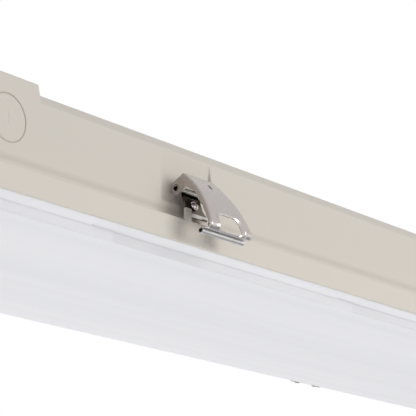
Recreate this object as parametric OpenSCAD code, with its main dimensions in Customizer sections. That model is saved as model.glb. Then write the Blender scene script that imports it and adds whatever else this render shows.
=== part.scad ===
// Vapor tight light fixture, ceiling mounted, with spring steel snap latches.
// X runs along the fixture, Y across it, Z up. The origin lies in the ceiling plane,
// midway between the two mounting slots. Heights below are given as z, in millimetres.

/* [Housing] */
// Overall length over the flange
length = 1270; // [1200:10:1330]
// Overall width over the flange
width = 208; // [196:1:220]
// Height of the flange band around the mouth
flange_h = 14.4; // [13.6:0.2:16]
// How far the flange stands out from the foot of the side wall
flange_out = 9; // [8.6:0.2:10]
// Height of the side wall, from the flange to the top chamfer
wall_h = 43.8; // [43:0.2:47]
// Size of the 45 degree chamfer along the top edges
chamfer = 8.4; // [6:0.2:9]
// How far the end blocks stand above the roof
block_rise = 2.3; // [2.3:0.1:4]
// Length of each end block along the roof
block_len = 80; // [74:1:90]
// Draft of the side walls, in degrees
wall_draft = 2.9; // [2.6:0.1:3.2]
// Wall thickness of the moulding
wall = 3; // [2.6:0.1:3.2]
// Radius of the flange corners seen from above
corner_r = 20; // [16:1:24]

/* [Knock-outs] */
// Diameter of the conduit knock-outs
ko_d = 28; // [21:0.5:30]
// Distance of a knock-out from the end of the housing
ko_from_end = 64; // [60:1:68]
// Height of a side knock-out above the flange
ko_height = 29.1; // [25:0.5:30]
// Width of the ring groove round a knock-out
ko_groove = 0.7; // [0.5:0.1:1]

/* [Lens] */
// Wall thickness of the lens
lens_t = 2; // [1.6:0.1:2.4]
// Width of the sloped rim under the flange
lens_rim = 6.4; // [6:0.1:7]
// Drop of the sloped rim
lens_rim_drop = 3.2; // [2.8:0.1:3.4]
// Height of the upright side of the lens
lens_side = 5.6; // [4.6:0.1:7]
// Drop of the two shallow facets
lens_facet_drop = 5.9; // [4:0.1:9]
// Width of the flat strip along the middle
lens_flat = 42; // [30:1:60]
// Run of the sloped facet at each end
lens_end_run = 36; // [24:1:60]

/* [Latches] */
// Distance between neighbouring latches
latch_pitch = 415; // [390:1:430]
// Width of a lever over its ears
lever_w = 28.6; // [28:0.1:29.4]
// Width of a lever at its tip
lever_tip_w = 38; // [36:0.2:42]
// Thickness of the lever sheet
lever_t = 0.9; // [0.8:0.05:1]
// Radius of the ears round the pin
ear_r = 4.4; // [4.2:0.1:4.6]
// Outer radius of the rolled edge at the tip
roll_r = 1.45; // [1.3:0.05:1.6]
// Length of the rolled edge
roll_len = 41; // [38:0.5:44]
// Outer radius of the hollow pin
pin_r = 1.5; // [1.3:0.05:1.6]
// Running clearance of the pin in the bracket, on the radius
pin_gap = 0.06; // [0.04:0.01:0.08]
// How far the shown latch is released from its closed place, in degrees
released = 33; // [0:1:60]
// Half width of the recess behind a latch, at its top
recess_hw = 22.8; // [21:0.2:26]

/* [Gear] */
// Length of the gear tray
tray_len = 1160; // [1100:10:1170]
// Width of the gear tray
tray_w = 150; // [144:1:160]
// Height of the tray floor above the flange
tray_z = 5; // [4.5:0.1:7]
// Sheet thickness of the tray
tray_t = 1; // [0.8:0.1:1.2]
// LED packages on each board
led_count = 28; // [10:1:32]

/* [Mounting] */
// Distance between the two ceiling slots
slot_spacing = 800; // [700:10:860]
// Width of a ceiling slot
slot_w = 6.5; // [5:0.5:7]
// Length of a ceiling slot, end to end
slot_len = 12; // [10:0.5:16]

/* [Hidden] */

$fn = 48;
eps = 0.01;
far = 2000;
reach = 100;

// Heights of the housing
roof_z = -block_rise;
shoulder_z = roof_z - chamfer;
flange_z = shoulder_z - wall_h;
rim_z = flange_z - flange_h;
draft = tan(wall_draft);

// Flange section, measured inwards from its outer face
band_t = 2.2;
channel_in = flange_out;
seal_wall_t = wall;
seal_wall_h = 9.5;
seal_gap = 0.2;
seal_h = 5;

// Lens section, measured inwards from the flange's outer face
lens_edge = band_t + 0.4;
lens_edge_z = rim_z + 0.2;
lens_step = lens_edge + lens_rim;
lens_step_z = lens_edge_z - lens_rim_drop;
lens_side_lean = 0.6;
lens_side_z = lens_step_z - lens_side;
lens_low_z = lens_side_z - lens_facet_drop;
tongue_in = 4.7;
tongue_t = 2;

// Pivot of a latch: distance inside the flange face, and height above the flange
pivot_in = 7.6;
pivot_z = flange_z + 20.4;

// One colour for each material
shell_colour = [0.80, 0.775, 0.73];
lens_colour = [0.90, 0.90, 0.93, 0.9];
steel_colour = [0.74, 0.73, 0.71];
tray_colour = [0.93, 0.93, 0.92];
board_colour = [0.92, 0.93, 0.90];
led_colour = [0.96, 0.90, 0.62];
dark_colour = [0.16, 0.16, 0.17];

// A flat shape in Y and Z, drawn out along X
module along_x(len) { rotate([90, 0, 90]) linear_extrude(len, center = true) children(); }

// A flat shape in X and Z, drawn out along Y
module along_y(len) { rotate([90, 0, 0]) linear_extrude(len, center = true) children(); }

// A rectangle with round corners
module rounded_rect(l, w, r) {
  square([l - 2 * r, w], center = true);
  square([l, w - 2 * r], center = true);
  for (sx = [-1, 1], sy = [-1, 1]) translate([sx * (l / 2 - r), sy * (w / 2 - r)]) circle(r);
}

// A slot with round ends, along X
module slot(l, w) {
  square([l - w, w], center = true);
  for (s = [-1, 1]) translate([s * (l - w) / 2, 0]) circle(d = w);
}

// A ring plate that follows the flange, between two distances from its outer face
module flange_ring(outer_in, inner_in, z_low, z_high) {
  translate([0, 0, z_low]) linear_extrude(z_high - z_low) difference() {
    rounded_rect(length - 2 * outer_in, width - 2 * outer_in, corner_r - outer_in);
    rounded_rect(length - 2 * inner_in, width - 2 * inner_in, max(corner_r - inner_in, 2));
  }
}

// Half a body outline from foot to roof, made whole by its mirror image
function body_outline(half, top_z, cut) = [
  [-half, flange_z - eps], [-half + draft * (shoulder_z - flange_z), shoulder_z],
  [-half + draft * (top_z - flange_z) + cut, top_z], [half - draft * (top_z - flange_z) - cut, top_z],
  [half - draft * (shoulder_z - flange_z), shoulder_z], [half, flange_z - eps]];

// The body above the flange, as a solid, set in by a distance
module body_solid(in) {
  half_w = width / 2 - flange_out - in;
  half_l = length / 2 - flange_out - in;
  intersection() {
    along_x(far) polygon(body_outline(half_w, roof_z - in, chamfer));
    along_y(far) polygon(body_outline(half_l, roof_z - in, 2));
    translate([0, 0, flange_z - 1]) linear_extrude(reach)
      rounded_rect(2 * half_l, 2 * half_w, corner_r - flange_out - in / 2);
  }
}

// The two end blocks, whose sides run on up from the side walls
module end_blocks() {
  half_w = width / 2 - flange_out;
  half_l = length / 2 - flange_out;
  inner = half_l - block_len;
  foot = 1.2;
  for (s = [-1, 1]) intersection() {
    along_x(far) polygon(body_outline(half_w, 0, 0));
    along_y(far) polygon([[s * half_l, flange_z], [s * (half_l - draft * -flange_z), 0],
      [s * inner, 0], [s * (inner - foot), shoulder_z - 2], [s * (inner - foot), shoulder_z - 4],
      [s * (inner + 10), flange_z]]);
    translate([0, 0, flange_z]) linear_extrude(reach)
      rounded_rect(2 * half_l, 2 * half_w, corner_r - flange_out);
  }
}

// Where the latches stand: [x, side], the shown latch first
latches = [for (s = [-1, 1], i = [-1:1]) [i * latch_pitch, s]];

// Turns a shape made for the front side (-Y) at the middle to a latch's place
module at_latch(k) {
  translate([latches[k][0], 0, 0]) mirror([0, latches[k][1] > 0 ? 1 : 0, 0]) children();
}

// The recess behind a latch: it starts just under the shoulder with no depth and deepens down to its foot,
// which is a low curb of wall above the flange
recess_slope = 0.2;
recess_flare = 2.3;
recess_foot = 11.5;
recess_start = 0.02;
module recess(grow) {
  wall_foot_y = -(width / 2 - flange_out);
  top = shoulder_z + grow;
  low = flange_z + recess_foot - grow;
  hw = recess_hw + grow;
  start_y = wall_foot_y + draft * wall_h - recess_start + grow;
  function back_y(z) = start_y + (recess_slope - draft) * (shoulder_z - z);
  intersection() {
    along_x(far) polygon([[back_y(top), top], [back_y(low), low], [wall_foot_y - flange_out, low],
      [wall_foot_y - flange_out, top]]);
    along_y(far) polygon([[-hw, top], [hw, top], [hw + recess_flare, low], [-hw - recess_flare, low]]);
  }
}

// Rivet seat on the bracket, measured from the pivot: outwards, up, and the tilt of its axis
seat_out = 2.54;
seat_up = -8.4;
seat_tilt = 18.8;
rivet_r = 1.6;
rivet_len = 9;
boss_r = 2.7;
boss_len = 10.6;
module on_rivet_axis() {
  translate([0, -(width / 2 - pivot_in) - seat_out, pivot_z + seat_up])
    rotate([90 - seat_tilt, 0, 0]) children();
}

// Two upright tabs on the flange that stand before the ends of the bracket's roll
tab_in = 8.9;
tab_w = 5.8;
tab_t = 1.9;
tab_h = 7.5;
module tabs() {
  for (s = [-1, 1]) translate([s * (tab_in + tab_w / 2) - tab_w / 2, -width / 2, flange_z - eps])
    cube([tab_w, tab_t, tab_h]);
}

// Rails on the roof that hold a mounting clip
rail_half = 42;
rail_len = 44;
rail_rib = 2;
rail_lip = 2.5;
rail_h = 2.1;
lip_h = 0.8;
module rails() {
  for (sx = [-1, 1], sy = [0, 1]) translate([sx * slot_spacing / 2 - rail_len / 2, 0, 0]) mirror([0, sy, 0]) {
    translate([0, rail_half + rail_lip, roof_z - eps]) cube([rail_len, rail_rib, rail_h]);
    translate([0, rail_half, roof_z + rail_h - lip_h]) cube([rail_len, rail_lip + eps, lip_h - eps]);
  }
}

// Columns that carry the gear tray
column_r = 5;
column_x = [-520, 0, 520];
column_y = 62;
tray_top_z = flange_z + tray_z + tray_t;
screw_r = 2;
module columns() {
  for (x = column_x, sy = [-1, 1]) translate([x, sy * column_y, tray_top_z])
    cylinder(r = column_r, h = roof_z - wall - tray_top_z + eps);
}

ko_x = length / 2 - ko_from_end;
ko_end_height = 26;

// A ring groove round a disc, and an upright gate mark at its middle, cut into a wall at the origin
gate_len = 3.5;
gate_w = 0.8;
gate_depth = 0.4;
module ko_mark(turn) {
  depth = wall * 0.5;
  difference() {
    cylinder(d = ko_d, h = depth * 2, center = true);
    cylinder(d = ko_d - 2 * ko_groove, h = depth * 3, center = true);
  }
  rotate([0, 0, turn]) linear_extrude(2 * gate_depth, center = true) slot(gate_len, gate_w);
}

module ko_marks() {
  side_y = width / 2 - flange_out - draft * ko_height;
  end_x = length / 2 - flange_out - draft * ko_end_height;
  for (sx = [-1, 1], sy = [-1, 1]) translate([sx * ko_x, sy * side_y, flange_z + ko_height])
    rotate([sy * (-90 + wall_draft), 0, 0]) ko_mark(90);
  for (sx = [-1, 1]) translate([sx * end_x, 0, flange_z + ko_end_height])
    rotate([0, sx * (90 - wall_draft), 0]) ko_mark(0);
}

// Breather vent in one end wall
vent_y = 60;
vent_height = 24;
vent_r = 4;
module at_vent() {
  translate([length / 2 - flange_out - draft * vent_height, vent_y, flange_z + vent_height])
    rotate([0, 90 - wall_draft, 0]) children();
}

module housing() color(shell_colour) {
  difference() {
    union() {
      translate([0, 0, rim_z]) linear_extrude(flange_h) rounded_rect(length, width, corner_r);
      body_solid(0);
      end_blocks();
      rails();
    }
    difference() {
      union() {
        body_solid(wall);
        translate([0, 0, rim_z - 1]) linear_extrude(flange_h + 2)
          rounded_rect(length - 2 * (channel_in + seal_wall_t), width - 2 * (channel_in + seal_wall_t), 6);
      }
      for (k = [0:len(latches) - 1]) at_latch(k) recess(wall);
    }
    flange_ring(band_t, channel_in, rim_z - 1, flange_z - wall);
    flange_ring(channel_in - eps, channel_in + seal_wall_t + 1, rim_z - 1, flange_z - seal_wall_h);
    for (k = [0:len(latches) - 1]) at_latch(k) {
      recess(0);
      on_rivet_axis() translate([0, 0, -rivet_len]) cylinder(r = rivet_r, h = rivet_len);
    }
    ko_marks();
    at_vent() translate([0, 0, -8]) cylinder(r = vent_r, h = 20);
  }
  for (k = [0:len(latches) - 1]) at_latch(k) tabs();
  for (k = [0:len(latches) - 1]) at_latch(k) on_rivet_axis() difference() {
    translate([0, 0, -boss_len]) cylinder(r = boss_r, h = boss_len - bracket_t - 0.03);
    translate([0, 0, -rivet_len]) cylinder(r = rivet_r, h = rivet_len);
  }
  difference() {
    columns();
    for (x = column_x, sy = [-1, 1]) translate([x, sy * column_y, tray_top_z - 1])
      cylinder(r = screw_r, h = 13);
  }
}

module gasket() color(dark_colour)
  flange_ring(band_t + seal_gap, channel_in - seal_gap, flange_z - wall - seal_h, flange_z - wall);

// The lens as a solid of its outer or, set in by its thickness, its inner surface
module lens_solid(in) {
  top = lens_edge_z + lens_t;
  side = lens_step + in;
  low = lens_low_z + in;
  side_z = lens_side_z + in;
  step_z = lens_step_z + in;
  function outline(half, run) = [
    [-half + lens_edge, top], [-half + lens_edge, lens_edge_z + in], [-half + side, step_z],
    [-half + side + lens_side_lean, side_z], [-half + side + lens_side_lean + run, low],
    [half - side - lens_side_lean - run, low], [half - side - lens_side_lean, side_z],
    [half - side, step_z], [half - lens_edge, lens_edge_z + in], [half - lens_edge, top]];
  run_y = width / 2 - lens_flat / 2 - side - lens_side_lean;
  intersection() {
    along_x(far) polygon(outline(width / 2, run_y));
    along_y(far) polygon(outline(length / 2, lens_end_run));
    translate([0, 0, low - 1]) linear_extrude(60)
      rounded_rect(length - 2 * lens_edge, width - 2 * lens_edge, corner_r - lens_edge);
  }
}

// Short marks moulded into the crease below the sloped rim
mark_pitch = 247;
mark_len = 20;
mark_r = 0.5;

module lens() color(lens_colour) {
  tongue_top = flange_z - wall - seal_h;
  difference() {
    lens_solid(0);
    lens_solid(lens_t);
    for (i = [-2:2], s = [-1, 1]) translate([i * mark_pitch, s * (width / 2 - lens_step), lens_step_z])
      rotate([0, 90, 0]) cylinder(r = mark_r, h = mark_len, center = true);
  }
  flange_ring(tongue_in, tongue_in + tongue_t, lens_edge_z - 0.6, tongue_top);
}

// The steel lever, drawn closed: measured outwards and up from the pivot
bow_r = 75;
bow_c = [-61.7, -21.1];
roll_c = [2.6, -37.8];
foot_up = -38.4;
top_up = ear_r;

// A bent strip: the given outer path, and the same path set in by a thickness
function strip(points, t) = let (n = len(points) - 1)
  concat(points, [for (i = [n:-1:0]) let (a = points[max(i - 1, 0)], b = points[min(i + 1, n)], d = b - a)
    points[i] + [d[1], -d[0]] * t / norm(d)]);

hook = [[11.24, -38.2], [10.95, -39.6], [10.2, -40.7], [9.0, -41.2], [7.4, -40.9], [5.4, -40.0],
  [3.4, -38.9]];

// Side view of the lever: its bowed plate and the hook under it
module lever_side() {
  intersection() {
    translate(bow_c) difference() {
      circle(bow_r, $fn = 240);
      circle(bow_r - lever_t, $fn = 240);
    }
    translate([0, foot_up]) square([20, top_up - foot_up]);
  }
  polygon(strip(hook, lever_t));
}

// Side view of the ear and of the edge turned in below it
module lever_ear() {
  intersection() {
    translate(bow_c) circle(bow_r - 0.1, $fn = 240);
    polygon([[0, top_up], [20, top_up], [20, -38], [10.3, -38], [10.3, -24], [9.6, -11.7], [6.6, -4.6],
      [0, -ear_r]]);
  }
  circle(ear_r);
}

function half_w_at(up) = lever_w / 2 + (up > -5 ? 0 : (lever_tip_w - lever_w) / 2 * pow((-5 - up) / 34, 0.9));

// The front view of a lever, set in from its edges
module lever_front(in) {
  ups = [6, -5, -12, -18, -24, -30, -36, -44];
  polygon(concat([for (u = ups) [half_w_at(u) - in, u]],
    [for (i = [len(ups) - 1:-1:0]) [-half_w_at(ups[i]) + in, ups[i]]]));
}

// Moves a shape drawn outwards and up from the pivot to the front side
module from_pivot(angle) {
  translate([0, -(width / 2 - pivot_in), pivot_z]) rotate([-angle, 0, 0]) mirror([0, 1, 0]) children();
}

// The window in the lever's foot, down to the end of its heel, and the slit near its top
window_w = 19;
window_low_w = 21;
window_top = -30.6;
window_lip = 4;
window_r = 4;
slit_up = -5.4;
module window() {
  for (s = [-1, 1]) translate([s * (window_w / 2 - window_r), window_top - window_r]) circle(window_r);
  translate([-window_w / 2 + window_r, window_top - window_r]) square([window_w - 2 * window_r, window_r]);
  half = window_w / 2;
  low_half = window_low_w / 2;
  low = roll_c[1] - 10;
  polygon([[-half, window_top - window_r], [-low_half, roll_c[1]], [-low_half, low], [low_half, low],
    [low_half, roll_c[1]], [half, window_top - window_r]]);
}

module at_roll() { translate([0, roll_c[0], roll_c[1]]) rotate([0, 90, 0]) children(); }

module lever() {
  difference() {
    union() {
      intersection() {
        along_x(reach) lever_side();
        along_y(reach) lever_front(0);
      }
      intersection() {
        along_x(reach) lever_ear();
        along_y(reach) difference() {
          lever_front(0);
          lever_front(lever_t);
        }
      }
      at_roll() cylinder(r = roll_r, h = roll_len, center = true);
    }
    at_roll() cylinder(r = roll_r - 0.5, h = roll_len + 2, center = true);
    rotate([0, 90, 0]) cylinder(r = pin_r, h = 60, center = true);
    intersection() {
      along_y(reach) window();
      translate([-20, roll_c[0] + roll_r + window_lip, -60]) cube([40, 40, 60]);
    }
    translate([1.9, 4, slit_up]) rotate([-90, 0, 0]) linear_extrude(30) rotate(90) slot(4.6, 1.5);
  }
}

module latch_lever(k) color(steel_colour) at_latch(k) from_pivot(k == 0 ? released : 0) lever();

// A hollow pin whose ends are flared over the ears
flare_out = 0.7;
flare_t = 0.45;
flare_rim = 0.15;
function pin_end(s) = let (h = s * lever_w / 2, tip = s * flare_t)
  [[pin_r, h], [pin_r + flare_out, h], [pin_r + flare_out, h + tip], [pin_r + flare_out - flare_rim, h + tip],
    [pin_r - 0.35, h + tip / 3]];
module latch_pin(k) color(steel_colour) at_latch(k) from_pivot(k == 0 ? released : 0)
  rotate([0, 90, 0]) rotate_extrude() polygon(concat(pin_end(1), [for (i = [4:-1:0]) pin_end(-1)[i]]));

// The fixed bracket: a barrel round the pin, a bent plate, and a roll at its foot
barrel_r = pin_r + pin_gap + 0.75;
barrel_hw = 8.3;
foot_roll = [3.4, -15.9];
foot_roll_r = 1.5;
foot_hw = 10.6;
bracket_t = 0.8;
module at_foot_roll() { translate([0, foot_roll[0], foot_roll[1]]) rotate([0, 90, 0]) children(); }

module bracket() {
  path = [[-1.5, -1.2], [-1.9, -3.2], [-1.2, -3.9], [0.4, -4.2], [1.25, -4.9], [1.75, -6.1], [4.75, -14.9]];
  difference() {
    union() {
      rotate([0, 90, 0]) cylinder(r = barrel_r, h = 2 * barrel_hw, center = true);
      intersection() {
        along_x(60) polygon(strip(path, bracket_t));
        along_y(60) polygon([[-barrel_hw, 2], [-barrel_hw, -10.5], [-foot_hw, -13.5], [-foot_hw, -18],
          [foot_hw, -18], [foot_hw, -13.5], [barrel_hw, -10.5], [barrel_hw, 2]]);
      }
      at_foot_roll() cylinder(r = foot_roll_r, h = 2 * foot_hw, center = true);
    }
    rotate([0, 90, 0]) cylinder(r = pin_r + pin_gap, h = 60, center = true);
    at_foot_roll() cylinder(r = foot_roll_r - 0.7, h = 60, center = true);
  }
}

module latch_bracket(k) color(steel_colour) at_latch(k) difference() {
  from_pivot(0) bracket();
  on_rivet_axis() cylinder(r = rivet_r, h = 8, center = true);
}

// Dome headed rivets through the brackets into the bosses
dome_r = 3.1;
dome_h = 1.9;
module latch_rivets() color(steel_colour) for (k = [0:len(latches) - 1]) at_latch(k) on_rivet_axis() {
  sphere_r = (dome_r * dome_r + dome_h * dome_h) / (2 * dome_h);
  rotate_extrude() {
    translate([0, -rivet_len]) square([rivet_r, rivet_len + 0.5]);
    translate([0, 0.05]) intersection() {
      square([dome_r, dome_h]);
      translate([0, dome_h - sphere_r]) circle(sphere_r, $fn = 64);
    }
  }
}

tray_lip_h = 10;
module gear_tray() color(tray_colour) difference() {
  translate([0, 0, tray_top_z - tray_t]) {
    translate([-tray_len / 2, -tray_w / 2, 0]) cube([tray_len, tray_w, tray_t]);
    for (s = [-1, 1]) translate([-tray_len / 2, s * (tray_w / 2 - tray_t / 2) - tray_t / 2, 0])
      cube([tray_len, tray_t, tray_lip_h]);
    for (s = [-1, 1]) translate([s * (tray_len / 2 - tray_t / 2) - tray_t / 2, -tray_w / 2, 0])
      cube([tray_t, tray_w, tray_lip_h]);
  }
  for (x = column_x, sy = [-1, 1]) translate([x, sy * column_y, tray_top_z - 5])
    cylinder(r = screw_r, h = 10);
  translate([wire_hole_x, 0, tray_top_z - 5]) cylinder(r = wire_hole_r, h = 10);
}

module tray_screws() color(steel_colour) for (x = column_x, sy = [-1, 1])
  translate([x, sy * column_y, tray_top_z - tray_t]) {
    translate([0, 0, -2.4]) cylinder(r = 4, h = 2.4);
    cylinder(r = screw_r, h = 11);
  }

// LED boards in two rows under the tray
board_len = 548;
board_w = 24;
board_t = 1.6;
board_y = 36;
board_gap = 6;
board_z = tray_top_z - tray_t - board_t;
led_size = [3.5, 2.8, 0.7];
boards = [for (sy = [-1, 1], sx = [-1, 1]) [sx * (board_len + board_gap) / 2, sy * board_y]];
module led_board(k) color(board_colour) translate([boards[k][0], boards[k][1], board_z])
  translate([-board_len / 2, -board_w / 2, 0]) cube([board_len, board_w, board_t]);

module led_packages(k) color(led_colour) for (i = [0:led_count - 1])
  translate([boards[k][0] + ((i + 0.5) / led_count - 0.5) * board_len, boards[k][1], board_z - led_size[2]])
    translate([-led_size[0] / 2, -led_size[1] / 2, 0]) cube(led_size);

// Driver, terminal block and wiring on top of the tray
driver_len = 300;
driver_w = 62;
driver_h = 30;
driver_foot = 14;
driver_screw_x = driver_len / 2 + driver_foot / 2;
driver_screw_y = 18;
module driver_case() color("white") difference() {
  translate([0, 0, tray_top_z]) {
    translate([-driver_len / 2, -driver_w / 2, 0]) cube([driver_len, driver_w, driver_h]);
    translate([-driver_len / 2 - driver_foot, -driver_w / 2, 0])
      cube([driver_len + 2 * driver_foot, driver_w, 2]);
  }
  for (s = [-1, 1]) translate([s * driver_screw_x, driver_screw_y, tray_top_z - 1])
    cylinder(r = screw_r, h = 6);
}

module driver_screws() color(steel_colour) for (s = [-1, 1])
  translate([s * driver_screw_x, driver_screw_y, tray_top_z]) {
    cylinder(r = screw_r, h = 2);
    translate([0, 0, 2]) cylinder(r = 3.6, h = 2.4);
  }

terminal_x = -300;
terminal_size = [22, 40, 18];
terminal_pitch = 11;
terminal_hole_r = 2.2;
terminal_hole_depth = 5;
terminal_z = tray_top_z + terminal_size[2] / 2;
wire_r = 1.4;
module terminal_block() color("whitesmoke") difference() {
  translate([terminal_x - terminal_size[0] / 2, -terminal_size[1] / 2, tray_top_z]) cube(terminal_size);
  for (i = [-1, 0, 1]) translate([terminal_x - terminal_size[0] / 2 - eps, i * terminal_pitch, terminal_z])
    rotate([0, 90, 0]) cylinder(r = terminal_hole_r, h = terminal_hole_depth);
}

module supply_wires() color("dimgray") for (i = [-1, 0, 1])
  translate([terminal_x + terminal_size[0] / 2, i * terminal_pitch, terminal_z]) rotate([0, 90, 0])
    cylinder(r = wire_r, h = -driver_len / 2 - terminal_x - terminal_size[0] / 2);

// The lamp wires leave the driver, go down through a hole in the tray and run under it to the boards
wire_hole_out = 60;
wire_hole_x = driver_len / 2 + wire_hole_out;
wire_hole_r = 5.6;
wire_out_h = 14;
elbow_r = 4;
module elbow() { rotate_extrude(angle = 90) translate([elbow_r, 0]) circle(wire_r); }
module output_wires() color("firebrick") {
  high = tray_top_z + wire_out_h;
  low = board_z + board_t - wire_r - 0.1;
  for (i = [-1, 1]) translate([0, i * 2, 0]) {
    translate([driver_len / 2, 0, high]) rotate([0, 90, 0]) cylinder(r = wire_r, h = wire_hole_out - elbow_r);
    translate([wire_hole_x - elbow_r, 0, high - elbow_r]) rotate([90, 0, 0]) elbow();
    translate([wire_hole_x, 0, low + elbow_r]) cylinder(r = wire_r, h = high - low - 2 * elbow_r);
    translate([wire_hole_x, i * elbow_r, low + elbow_r]) rotate([-90, 0, 0]) rotate([0, i * 90, 0]) elbow();
    translate([wire_hole_x, i * elbow_r, low]) rotate([-90 * i, 0, 0])
      cylinder(r = wire_r, h = board_y - board_w / 2 - 2 - elbow_r);
  }
  for (s = [-1, 1]) translate([0, s * board_y, board_z + board_t / 2]) rotate([0, 90, 0])
    cylinder(r = board_t / 2 - 0.1, h = board_gap, center = true);
}

earth_x = -400;
earth_y = 40;
module earth_screw() color("gold") translate([earth_x, earth_y, tray_top_z]) {
  cylinder(r = 5, h = 1);
  translate([0, 0, 1]) cylinder(r = 3.4, h = 2.6);
}

module vent_plug() color(dark_colour) at_vent() {
  translate([0, 0, 0.05]) cylinder(r = 7, h = 3);
  translate([0, 0, -wall - 1.5]) cylinder(r = vent_r - 0.05, h = wall + 2);
}

// Mounting clip: fixed to the ceiling, its feet held under the rails
clip_t = 1;
clip_len = 40;
clip_gap = 0.1;
clip_half = rail_half - 0.4;
module mounting_clip(s) color(steel_colour) translate([s * slot_spacing / 2, 0, 0]) difference() {
  union() {
    translate([-clip_len / 2, -clip_half, -clip_t]) cube([clip_len, 2 * clip_half, clip_t]);
    for (sy = [-1, 1]) mirror([0, sy < 0 ? 1 : 0, 0]) {
      translate([-clip_len / 2, clip_half - clip_t, roof_z + clip_gap]) {
        cube([clip_len, clip_t, -roof_z - clip_gap]);
        cube([clip_len, clip_t + rail_lip + 0.2, rail_h - lip_h - 2 * clip_gap]);
      }
    }
  }
  translate([0, 0, -6]) linear_extrude(12) slot(slot_len, slot_w);
}

housing();
gasket();
lens();
gear_tray();
tray_screws();
for (k = [0:3]) {
  led_board(k);
  led_packages(k);
}
driver_case();
driver_screws();
terminal_block();
supply_wires();
output_wires();
earth_screw();
vent_plug();
mounting_clip(-1);  // mounting_clip_1
mounting_clip(1);  // mounting_clip_2
latch_rivets();
for (k = [0:5]) {
  latch_bracket(k);
  latch_lever(k);
  latch_pin(k);
}
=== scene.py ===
# %% [markdown]
# # Vapor tight light fixture
# A long sealed ceiling light: a moulded housing, a shallow frosted lens, and steel latches along both
# sides. Every cell below makes one finish or one piece. The first one brings in the tools and the measured
# frame, in metres, with Z up and the ceiling at Z = 0. It also reads a few sizes off the frame, in
# millimetres: half the housing's length and width, the heights of its rim and of the top of its flange, and
# the axis of the latch pins.

# %% Frame
import math

import bpy
import numpy as np
from mathutils import Matrix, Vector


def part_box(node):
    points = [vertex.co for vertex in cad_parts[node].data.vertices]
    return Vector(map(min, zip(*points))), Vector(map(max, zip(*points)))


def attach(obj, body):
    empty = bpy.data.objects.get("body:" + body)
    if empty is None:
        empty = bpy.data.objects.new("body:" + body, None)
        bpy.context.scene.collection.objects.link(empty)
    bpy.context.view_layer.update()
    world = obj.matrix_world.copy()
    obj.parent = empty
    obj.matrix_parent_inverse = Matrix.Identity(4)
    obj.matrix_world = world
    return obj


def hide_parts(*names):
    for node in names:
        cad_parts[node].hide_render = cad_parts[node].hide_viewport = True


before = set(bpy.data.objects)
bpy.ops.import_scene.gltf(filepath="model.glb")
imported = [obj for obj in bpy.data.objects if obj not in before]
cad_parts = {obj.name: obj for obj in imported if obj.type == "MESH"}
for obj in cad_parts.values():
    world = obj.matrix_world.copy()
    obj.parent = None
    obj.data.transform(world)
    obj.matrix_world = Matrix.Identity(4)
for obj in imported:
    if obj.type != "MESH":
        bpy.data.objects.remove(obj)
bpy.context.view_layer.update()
low_corner, high_corner = (np.array(corner) * 1000 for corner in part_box("housing"))
half_length, half_width, rim_z = high_corner[0], high_corner[1], low_corner[2]
flange_z = rim_z + 14.4
pin_y, pin_z = half_width - 7.6, flange_z + 20.4
print("half length, half width, rim height, mm:", *(round(v, 1) for v in (half_length, half_width, rim_z)))

# %% [markdown]
# The camera looks up at the fixture from the near side, a little to the left, with a long lens.
# It could be aimed with a constraint, but a matrix built from its three directions is exact.
# Azimuth and elevation are the way it looks; no roll.

# %% Camera
azimuth, elevation = math.radians(52.83), math.radians(14.66)
focal_px, picture_px, sensor_mm = 1900, 416, 36
forward = np.array([math.sin(azimuth) * math.cos(elevation), math.cos(azimuth) * math.cos(elevation),
                    math.sin(elevation)])
right = np.cross(forward, [0, 0, 1])
right /= np.linalg.norm(right)
up = np.cross(right, forward)
place = np.array([-1.2794, -0.7644, -0.3292])
camera = bpy.data.objects.new("camera", bpy.data.cameras.new("camera"))
bpy.context.scene.collection.objects.link(camera)
matrix = np.eye(4)
matrix[:3, :3] = np.stack([right, up, -forward], axis=1)
matrix[:3, 3] = place
camera.matrix_world = Matrix(matrix.tolist())
camera.data.sensor_width = sensor_mm
camera.data.lens = focal_px / picture_px * sensor_mm
camera.data.clip_start = 0.05
bpy.context.scene.camera = camera
print("lens, mm:", round(camera.data.lens, 1))

# %% [markdown]
# Shader maths is easier to read as Python than as a picture of nodes. This class holds one socket, and each
# operator adds the Math node that does it. Any other node comes from `node`, which takes the node's type,
# its settings and its inputs, and gives back one of its outputs.

# %% Shader expressions
class Shade:
    """One shader value: a socket with operators. `1 - mask` and `height * 0.5` add Math nodes."""

    def __init__(self, tree, socket=None):
        self.tree = tree
        self.socket = socket

    def node(self, kind, settings=None, inputs=None, out=0):
        made = self.tree.nodes.new("ShaderNode" + kind)
        for name, value in (settings or {}).items():
            setattr(made, name, value)
        for name, value in (inputs or {}).items():
            target = made.inputs[name]
            if isinstance(value, Shade):
                self.tree.links.new(value.socket, target)
            elif target.type == "RGBA":
                target.default_value = (*value, 1)
            else:
                target.default_value = value
        return Shade(self.tree, made.outputs[out] if made.outputs else None)

    def maths(self, operation, a, b=0.0):
        return self.node("Math", {"operation": operation}, {0: a, 1: b})

    def __add__(self, other):
        return self.maths("ADD", self, other)

    __radd__ = __add__

    def __sub__(self, other):
        return self.maths("SUBTRACT", self, other)

    def __rsub__(self, other):
        return self.maths("SUBTRACT", other, self)

    def __mul__(self, other):
        return self.maths("MULTIPLY", self, other)

    __rmul__ = __mul__

    def ramp(self, low, high):
        """A smooth rise from 0 at low to 1 at high."""
        return self.node("MapRange", {"interpolation_type": "SMOOTHSTEP"},
                         {"Value": self, "From Min": low, "From Max": high})

    def mix(self, first, second):
        """The colour `first` where this value is 0 and `second` where it is 1."""
        return self.node("Mix", {"data_type": "RGBA"}, {0: self, 6: first, 7: second}, out=2)


def finish_named(name):
    """An empty material and the start of its shader expressions."""
    material = bpy.data.materials.new(name)
    material.use_nodes = True
    material.node_tree.nodes.clear()
    return material, Shade(material.node_tree)


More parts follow.
